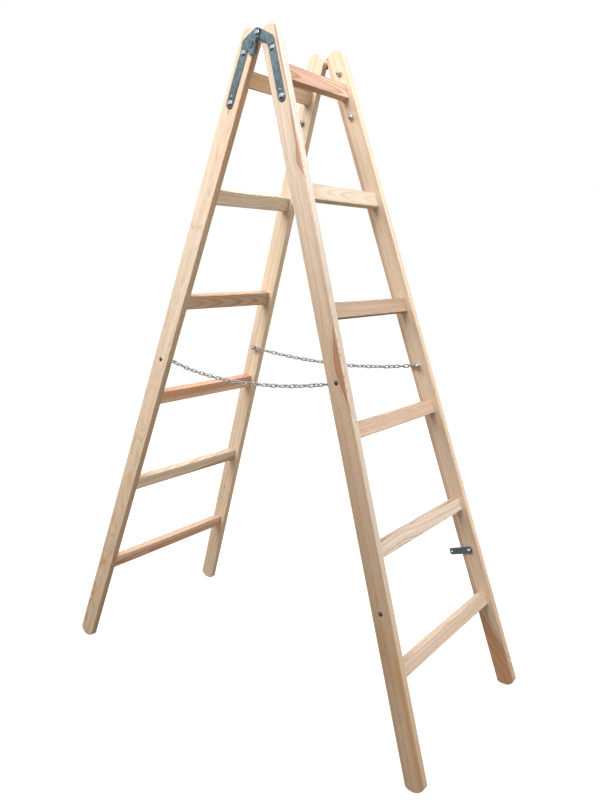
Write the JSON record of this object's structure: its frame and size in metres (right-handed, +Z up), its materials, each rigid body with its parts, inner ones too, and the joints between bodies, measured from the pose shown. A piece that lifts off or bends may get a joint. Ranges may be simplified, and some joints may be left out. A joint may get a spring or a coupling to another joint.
{
  "type": "wooden stepladder",
  "caption": "Free-standing two-sided wooden stepladder: two tapering pine frames with rungs, hinged at the top, held open by check chains and shut by strap latches.",
  "frame": {"origin": "on the floor, midway between the four feet, with the ladder open", "axes": "+Z up; +X from the left frame to the right frame across the spread; +Y along the rungs from near to far"},
  "size_m": [1.2104, 0.5774, 1.6844],
  "materials": {
    "pine": "planed softwood, clear satin",
    "galvanised_sheet": "galvanised sheet",
    "bright_zinc": "bright zinc plate",
    "dark_bolt": "blackened steel",
    "chain_zinc": "zinc-plated wire",
    "dark_steel": "blued steel strap"
  },
  "bodies": {
    "left_frame": {"catch_pin_far": "dark_bolt", "catch_pin_near": "dark_bolt", "chain_bolt_far_left": "dark_bolt", "chain_bolt_near_left": "dark_bolt", "chain_nut_far_left": "bright_zinc", "chain_nut_near_left": "bright_zinc", "leaf_bolts_far_left": "bright_zinc", "leaf_bolts_near_left": "bright_zinc", "leaf_far_left": "galvanised_sheet", "leaf_nail_far_left": "bright_zinc", "leaf_nail_near_left": "bright_zinc", "leaf_near_left": "galvanised_sheet", "leaf_nuts_far_left": "bright_zinc", "leaf_nuts_near_left": "bright_zinc", "pivot_rivet_far": "bright_zinc", "pivot_rivet_near": "bright_zinc", "rung_left_1": "pine", "rung_left_2": "pine", "rung_left_3": "pine", "rung_left_4": "pine", "rung_left_5": "pine", "rung_left_6": "pine", "stile_far_left": "pine", "stile_near_left": "pine"},
    "right_frame": {"chain_bolt_far_right": "dark_bolt", "chain_bolt_near_right": "dark_bolt", "chain_nut_far_right": "bright_zinc", "chain_nut_near_right": "bright_zinc", "latch_bolt_far": "dark_bolt", "latch_bolt_near": "dark_bolt", "latch_nut_far": "bright_zinc", "latch_nut_near": "bright_zinc", "leaf_bolts_far_right": "bright_zinc", "leaf_bolts_near_right": "bright_zinc", "leaf_far_right": "galvanised_sheet", "leaf_nail_far_right": "bright_zinc", "leaf_nail_near_right": "bright_zinc", "leaf_near_right": "galvanised_sheet", "leaf_nuts_far_right": "bright_zinc", "leaf_nuts_near_right": "bright_zinc", "rung_right_1": "pine", "rung_right_2": "pine", "rung_right_3": "pine", "rung_right_4": "pine", "rung_right_5": "pine", "rung_right_6": "pine", "stile_far_right": "pine", "stile_near_right": "pine"},
    "chain_far_left": {"chain_far_left": "chain_zinc"},
    "chain_far_right": {"chain_far_right": "chain_zinc"},
    "chain_near_left": {"chain_near_left": "chain_zinc"},
    "chain_near_right": {"chain_near_right": "chain_zinc"},
    "latch_far": {"latch_far": "dark_steel"},
    "latch_near": {"latch_near": "dark_steel"}
  },
  "joints": [
    {"name": "fold", "type": "hinge", "parent": "left_frame", "child": "right_frame", "pos_m": [0, 0, 1.66635], "axis": [0, 1, 0], "range_deg": [0, 37]},
    {"name": "chain_near_left_swing", "type": "hinge", "parent": "left_frame", "child": "chain_near_left", "pos_m": [-0.28617, -0.18527, 0.89492], "axis": [0, 1, 0], "range_deg": [0, 90]},
    {"name": "chain_near_right_swing", "type": "hinge", "parent": "right_frame", "child": "chain_near_right", "pos_m": [0.28617, -0.18527, 0.89492], "axis": [0, 1, 0], "range_deg": [-90, 0]},
    {"name": "chain_far_left_swing", "type": "hinge", "parent": "left_frame", "child": "chain_far_left", "pos_m": [-0.28617, 0.18527, 0.89492], "axis": [0, 1, 0], "range_deg": [0, 90]},
    {"name": "chain_far_right_swing", "type": "hinge", "parent": "right_frame", "child": "chain_far_right", "pos_m": [0.28617, 0.18527, 0.89492], "axis": [0, 1, 0], "range_deg": [-90, 0]},
    {"name": "latch_near_turn", "type": "hinge", "parent": "right_frame", "child": "latch_near", "pos_m": [0.45492, -0.23336, 0.39056], "axis": [0.026, 0.9966, -0.0777], "range_deg": [0, 180]},
    {"name": "latch_far_turn", "type": "hinge", "parent": "right_frame", "child": "latch_far", "pos_m": [0.45492, 0.23336, 0.39056], "axis": [0.026, -0.9966, -0.0777], "range_deg": [-90, 90]}
  ],
  "couplings": [
    {"joint": "chain_near_left_swing", "follows": "fold", "ratio": 2.3243},
    {"joint": "chain_near_right_swing", "follows": "fold", "ratio": -2.3243},
    {"joint": "chain_far_left_swing", "follows": "fold", "ratio": 2.3946},
    {"joint": "chain_far_right_swing", "follows": "fold", "ratio": -2.3946}
  ]
}
